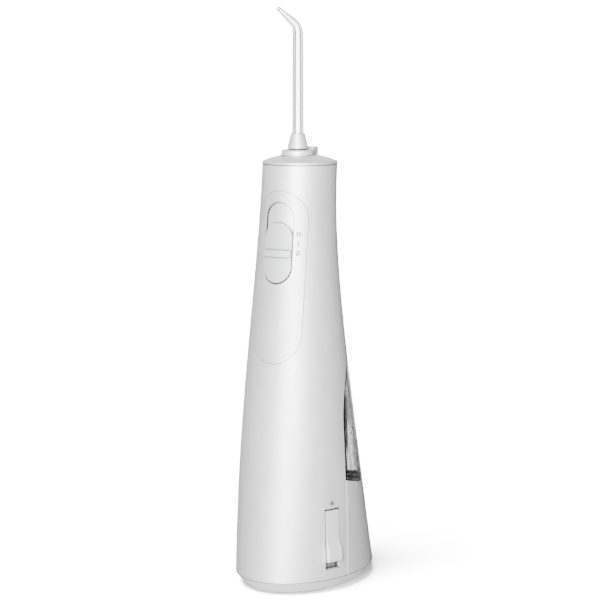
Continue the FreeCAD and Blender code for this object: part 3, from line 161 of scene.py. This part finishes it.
def with_painted_shade(tree, colour, reach, dark, shade_from_self_only):
    """A colour with painted shade: darker in joints and crevices narrower than reach, or only in its own
    crevices when the piece takes painted shade from itself only.
    """
    shade_occlusion = tree.nodes.new("ShaderNodeAmbientOcclusion")
    shade_occlusion.samples = 8
    shade_occlusion.only_local = shade_from_self_only
    shade_occlusion.inputs["Distance"].default_value = reach
    spread = tree.nodes.new("ShaderNodeMapRange")
    spread.inputs["From Min"].default_value = 0.5
    spread.inputs["From Max"].default_value = 0.95
    spread.inputs["To Min"].default_value = dark
    mix = tree.nodes.new("ShaderNodeMix")
    mix.data_type = "RGBA"
    mix.blend_type = "MULTIPLY"
    mix.inputs[0].default_value = 1.0
    tree.links.new(shade_occlusion.outputs["AO"], spread.inputs["Value"])
    tree.links.new(colour, mix.inputs[6])
    tree.links.new(spread.outputs["Result"], mix.inputs[7])
    return mix.outputs[2]


def plastic(name, colour, roughness, grain=0.000003, edge=0.25 * MM, pearl=0.0, shade_from_self_only=False):
    """Moulded plastic: faint flow clouds in colour and gloss, spark-eroded grain, softened edges, painted
    shade in joints and crevices.

    Pearl is the share of the surface that reflects like a pearl pigment. A piece painted with shade from
    its own shape only takes no notice of the pieces around it, as behind a clear wall.
    """
    material, tree, shader = new_material(name)
    clouds = noise(tree, 45.0, detail=4.0)
    tint = ramp(tree, clouds, tinted(colour, 0.985), tinted(colour, 1.012))
    # painted shade: the base colour is darkened where joints and crevices are occluded
    tree.links.new(with_painted_shade(tree, tint, PAINTED_SHADE_REACH, PAINTED_SHADE_DARK, shade_from_self_only), shader.inputs["Base Color"])
    sheen = noise(tree, 180.0, detail=5.0, stretch=(1, 1, 0.4))
    tree.links.new(ramp(tree, sheen, roughness - 0.03, roughness + 0.04), shader.inputs["Roughness"])
    shader.inputs["Metallic"].default_value = pearl
    add_surface(tree, shader, noise(tree, GRAIN_SCALE, detail=2.0), grain, edge)
    return material


def clear_plastic(name, light, dark, streak_scale, waviness):
    """Clear moulded plastic, with painted shade where it turns edge-on, upright streaks painted light and
    dark as reflections, and ripples.
    """
    material, tree, shader = new_material(name)
    shader.inputs["Transmission Weight"].default_value = 1.0
    shader.inputs["IOR"].default_value = 1.49
    # painted reflections: the streaks run light and dark in the tint; the same noise also varies the gloss
    # and ripples the surface
    streaks = noise(tree, streak_scale, detail=4.0, roughness=0.6, stretch=(1, 1, 0.12))
    spread = tree.nodes.new("ShaderNodeMapRange")
    spread.inputs["From Min"].default_value = STREAK_SPAN[0]
    spread.inputs["From Max"].default_value = STREAK_SPAN[1]
    tree.links.new(streaks, spread.inputs["Value"])
    tint = ramp(tree, spread.outputs["Result"], dark, light)
    # painted shade: the colour darkens as the surface turns edge-on
    edge = tree.nodes.new("ShaderNodeLayerWeight")
    edge.inputs["Blend"].default_value = EDGE_SHADE_BLEND
    tree.links.new(ramp_between(tree, edge.outputs["Facing"], *EDGE_SHADE_SPAN, tint, tinted(dark, EDGE_SHADE_SHARE)),
                   shader.inputs["Base Color"])
    tree.links.new(ramp(tree, streaks, 0.01, 0.05), shader.inputs["Roughness"])
    add_surface(tree, shader, streaks, waviness, 0)
    return material


def ramp_between(tree, factor, start, end, colour, last):
    """Turn a linked colour into another one as a value goes from start to end."""
    spread = tree.nodes.new("ShaderNodeMapRange")
    spread.inputs["From Min"].default_value = start
    spread.inputs["From Max"].default_value = end
    mix = tree.nodes.new("ShaderNodeMix")
    mix.data_type = "RGBA"
    mix.inputs[7].default_value = last
    tree.links.new(factor, spread.inputs["Value"])
    tree.links.new(spread.outputs["Result"], mix.inputs[0])
    tree.links.new(colour, mix.inputs[6])
    return mix.outputs[2]


def rubber(name, colour):
    """Matte moulded rubber with a powdery grain."""
    material, tree, shader = new_material(name)
    dust = noise(tree, 900.0, detail=5.0)
    tree.links.new(ramp(tree, dust, tinted(colour, 0.85), tinted(colour, 1.2)), shader.inputs["Base Color"])
    tree.links.new(ramp(tree, dust, 0.6, 0.75), shader.inputs["Roughness"])
    add_surface(tree, shader, noise(tree, 4000.0, detail=3.0), 0.00001, 0.2 * MM)
    return material


def metal(name, colour, roughness):
    """Bright metal with fine drawn lines and faint handling marks."""
    material, tree, shader = new_material(name)
    shader.inputs["Metallic"].default_value = 1.0
    lines = noise(tree, 900.0, detail=6.0, stretch=(1, 1, 0.03))
    tint = ramp(tree, lines, tinted(colour, 0.9), tinted(colour, 1.05))
    tree.links.new(tint, shader.inputs["Base Color"])
    tree.links.new(ramp(tree, lines, roughness - 0.05, roughness + 0.12), shader.inputs["Roughness"])
    add_surface(tree, shader, lines, 0.000004, 0.1 * MM)
    return material


def printed_board(name, colour):
    """Solder mask with copper tracks showing through as slightly lighter lines."""
    material, tree, shader = new_material(name)
    place = tree.nodes.new("ShaderNodeTexCoord")
    tracks = tree.nodes.new("ShaderNodeTexBrick")
    tracks.inputs["Scale"].default_value = 220.0
    tracks.inputs["Mortar Size"].default_value = 0.06
    tracks.inputs["Color1"].default_value = colour
    tracks.inputs["Color2"].default_value = tinted(colour, 0.8)
    tracks.inputs["Mortar"].default_value = tinted(colour, 1.9)
    tree.links.new(place.outputs["Object"], tracks.inputs["Vector"])
    tree.links.new(tracks.outputs["Color"], shader.inputs["Base Color"])
    tree.links.new(ramp(tree, noise(tree, 400.0), 0.25, 0.4), shader.inputs["Roughness"])
    return material


def make_materials():
    """One finish for each of the record's material slots."""
    return {
        "white_shell": plastic("white_shell", WHITE, 0.55, pearl=0.6),
        "panel": plastic("panel", PANEL_WHITE, 0.57, pearl=0.65),
        "slider": plastic("slider", SLIDER_GREY, 0.6, grain=0.000006, pearl=0.4),
        "clear_tank": clear_plastic("clear_tank", (0.74, 0.75, 0.76, 1), (0.24, 0.24, 0.25, 1), 260.0,
                                    0.00006),
        "clear_tip": clear_plastic("clear_tip", (0.97, 0.97, 0.98, 1), (0.90, 0.90, 0.91, 1), 150.0,
                                   0.00001),
        "lens": plastic("lens", (0.13, 0.13, 0.14, 1), 0.3, edge=0.1 * MM),
        "seal": rubber("seal", (0.015, 0.015, 0.016, 1)),
        "foot_rubber": rubber("foot_rubber", (0.30, 0.30, 0.30, 1)),
        "inner_plastic": plastic("inner_plastic", (0.10, 0.105, 0.11, 1), 0.45),
        "fitting": plastic("fitting", OFF_WHITE, 0.3, edge=0.15 * MM),
        "steel": metal("steel", (0.60, 0.61, 0.63, 1), 0.25),
        "brass": metal("brass", (0.62, 0.44, 0.18, 1), 0.28),
        "gear_plastic": plastic("gear_plastic", (0.72, 0.70, 0.62, 1), 0.35, edge=0.1 * MM),
        "hose": plastic("hose", (0.60, 0.61, 0.60, 1), 0.4, edge=0),
        "cell_wrap": plastic("cell_wrap", (0.05, 0.13, 0.35, 1), 0.3),
        "board": printed_board("board", (0.02, 0.10, 0.045, 1)),
    }


def finish_nodes(materials):
    """Give every CAD node the finish of its slot, then three of them a finish of their own."""
    for entry in frame["record"]["subparts"]:
        node = frame["nodes"][entry["node"]]
        node.data.materials.clear()
        node.data.materials.append(materials[entry["material_slot"]])
    own = {"charge_port_cover": plastic("soft_cover", WHITE, 0.6, edge=0.9 * MM, pearl=0.5),
           # painted shade: the charge port frame's well is made dark grey for the shade in its recess
           "charge_port_frame": plastic("painted_shade_well", PAINTED_SHADE_GREY, 0.5),
           # the lower shell takes its painted shade from its own shape only
           "reservoir_lower": plastic("lower_shell", WHITE, 0.55, pearl=0.6, shade_from_self_only=True)}
    for node, material in own.items():
        frame["nodes"][node].data.materials[0] = material


# Printed marks beside the switch

def bar_outline(x, z, width, height):
    """A flat upright bar as one face, given by its middle."""
    return [[(x - width / 2, z - height / 2), (x + width / 2, z - height / 2),
             (x + width / 2, z + height / 2), (x - width / 2, z + height / 2)]]


def ring_outline(x, z, half_width, half_height, line, steps=28):
    """An oval ring as a band of faces."""
    faces = []
    for index in range(steps):
        turns = [2 * math.pi * (index + shift) / steps for shift in (0, 1)]
        outer = [(x + half_width * math.cos(turn), z + half_height * math.sin(turn)) for turn in turns]
        inner = [(x + (half_width - line) * math.cos(turn), z + (half_height - line) * math.sin(turn))
                 for turn in turns]
        faces.append([outer[0], outer[1], inner[1], inner[0]])
    return faces


def laid_on(name, node, faces, material, body):
    """Print flat faces drawn in X and Z on to a node's front."""
    tree = BVHTree.FromObject(frame["nodes"][node], bpy.context.evaluated_depsgraph_get())
    mesh = bmesh.new()
    for face in faces:
        corners = []
        for x, z in face:
            hit, normal, _index, _distance = tree.ray_cast(Vector((x, -0.2, z)), Vector((0, 1, 0)))
            corners.append(mesh.verts.new(hit + normal * MARK_LIFT))
        mesh.faces.new(corners)
    bmesh.ops.remove_doubles(mesh, verts=mesh.verts, dist=0.001 * MM)
    data = bpy.data.meshes.new(name)
    mesh.to_mesh(data)
    mesh.free()
    piece = bpy.data.objects.new(name, data)
    piece.data.materials.append(material)
    bpy.context.scene.collection.objects.link(piece)
    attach(piece, body)


def make_marks():
    """The off, low and high marks, one above the other."""
    ink = plastic("mark_ink", MARK_GREY, 0.45, edge=0)
    high = [bar for shift in (-MARK_SPREAD, MARK_SPREAD)
            for bar in bar_outline(MARK_X + shift, MARK_HIGH_LEVEL, MARK_LINE, 2.3 * MM)]
    low = bar_outline(MARK_X, MARK_LOW_LEVEL, MARK_LINE, 2.6 * MM)
    off = ring_outline(MARK_X, MARK_OFF_LEVEL, 0.85 * MM, 1.35 * MM, MARK_RING_LINE)
    for name, faces in (("mark_high", high), ("mark_low", low), ("mark_off", off)):
        laid_on(name, "control_panel", faces, ink, "housing")


# Stage

def make_floor():
    """A large plain pale floor."""
    mesh = bmesh.new()
    bmesh.ops.create_circle(mesh, cap_ends=True, segments=96, radius=FLOOR_RADIUS)
    data = bpy.data.meshes.new("floor")
    mesh.to_mesh(data)
    mesh.free()
    floor = bpy.data.objects.new("floor", data)
    bpy.context.scene.collection.objects.link(floor)
    material, tree, shader = new_material("floor")
    shader.inputs["Roughness"].default_value = 0.9
    clouds = noise(tree, 6.0)
    tint = ramp(tree, clouds, (0.90, 0.90, 0.90, 1), (0.91, 0.91, 0.91, 1))
    tree.links.new(tint, shader.inputs["Base Color"])
    shader.inputs["Emission Color"].default_value = (1, 1, 1, 1)
    shader.inputs["Emission Strength"].default_value = FLOOR_GLOW
    floor.data.materials.append(material)
    floor.visible_diffuse = False
    floor.visible_glossy = False
    floor.visible_transmission = False


def spread_value(tree, value, low, high, result_low, result_high):
    """Map a value smoothly from one span to another."""
    node = tree.nodes.new("ShaderNodeMapRange")
    node.interpolation_type = "SMOOTHSTEP"
    node.inputs["From Min"].default_value = low
    node.inputs["From Max"].default_value = high
    node.inputs["To Min"].default_value = result_low
    node.inputs["To Max"].default_value = result_high
    tree.links.new(value, node.inputs["Value"])
    return node.outputs["Result"]


def mixed(tree, factor, first, second):
    """Mix two background shaders by a linked factor."""
    node = tree.nodes.new("ShaderNodeMixShader")
    tree.links.new(factor, node.inputs["Fac"])
    tree.links.new(first, node.inputs[1])
    tree.links.new(second, node.inputs[2])
    return node.outputs["Shader"]


def make_world():
    """A white background, a dim room around it, and the pale table's light from below.

    Clear plastic sees the background only straight ahead and straight behind, so its edges turn dark.
    """
    world = bpy.data.worlds.new("studio")
    bpy.context.scene.world = world
    world.use_nodes = True
    tree = world.node_tree
    white = tree.nodes["Background"]
    white.inputs["Color"].default_value = (1, 1, 1, 1)
    white.inputs["Strength"].default_value = BACKGROUND
    room = tree.nodes.new("ShaderNodeBackground")
    backdrop = tree.nodes.new("ShaderNodeBackground")
    place = tree.nodes.new("ShaderNodeTexCoord")
    split = tree.nodes.new("ShaderNodeSeparateXYZ")
    behind = tree.nodes.new("ShaderNodeVectorMath")
    behind.operation = "DOT_PRODUCT"
    turn = math.radians(CAMERA_AZIMUTH)
    behind.inputs[1].default_value = (-math.sin(turn), math.cos(turn), 0)
    either = tree.nodes.new("ShaderNodeMath")
    either.operation = "ABSOLUTE"
    path = tree.nodes.new("ShaderNodeLightPath")
    tree.links.new(place.outputs["Generated"], split.inputs["Vector"])
    tree.links.new(place.outputs["Generated"], behind.inputs[0])
    tree.links.new(spread_value(tree, split.outputs["Z"], *TABLE_SPAN, TABLE_LIGHT, FILL),
                   room.inputs["Strength"])
    tree.links.new(behind.outputs["Value"], either.inputs[0])
    tree.links.new(spread_value(tree, either.outputs["Value"], *BEHIND_SPAN, SIDE_ROOM, BACKGROUND),
                   backdrop.inputs["Strength"])
    through = mixed(tree, path.outputs["Is Transmission Ray"], room.outputs["Background"],
                    backdrop.outputs["Background"])
    seen = mixed(tree, path.outputs["Is Camera Ray"], through, white.outputs["Background"])
    tree.links.new(seen, tree.nodes["World Output"].inputs["Surface"])


def add_softbox(name, at, width, height, power):
    """A soft rectangular light pointing at the object's middle."""
    data = bpy.data.lights.new(name, "AREA")
    data.shape = "RECTANGLE"
    data.size = width
    data.size_y = height
    data.energy = power
    light = bpy.data.objects.new(name, data)
    light.location = at
    light.rotation_euler = (Vector(LIGHT_AIM) - Vector(at)).to_track_quat("-Z", "Y").to_euler()
    bpy.context.scene.collection.objects.link(light)


def make_lights():
    """A tall softbox beside the camera, a faint one behind, and a high light that only the floor takes."""
    for name, (at, width, height, power) in SOFTBOXES.items():
        add_softbox(name, at, width, height, power)
    data = bpy.data.lights.new("floor_light", "SUN")
    data.energy = FLOOR_LIGHT_ENERGY
    data.angle = math.radians(FLOOR_LIGHT_ANGLE)
    light = bpy.data.objects.new("floor_light", data)
    light.rotation_euler = Vector(FLOOR_LIGHT_HEADING).to_track_quat("-Z", "Y").to_euler()
    bpy.context.scene.collection.objects.link(light)
    lit = bpy.data.collections.new("floor_only")
    lit.objects.link(bpy.data.objects["floor"])
    light.light_linking.receiver_collection = lit


def make_camera():
    """The camera at the object's usual product view."""
    data = bpy.data.cameras.new("camera")
    data.lens = CAMERA_LENS
    data.sensor_width = 36
    data.dof.use_dof = False
    camera = bpy.data.objects.new("camera", data)
    camera.location = CAMERA_AT
    camera.rotation_euler = (math.radians(90 - CAMERA_DIP), 0, math.radians(CAMERA_AZIMUTH))
    bpy.context.scene.collection.objects.link(camera)
    bpy.context.scene.camera = camera


make_camera()
make_floor()
make_world()
make_lights()
finish_nodes(make_materials())
make_marks()
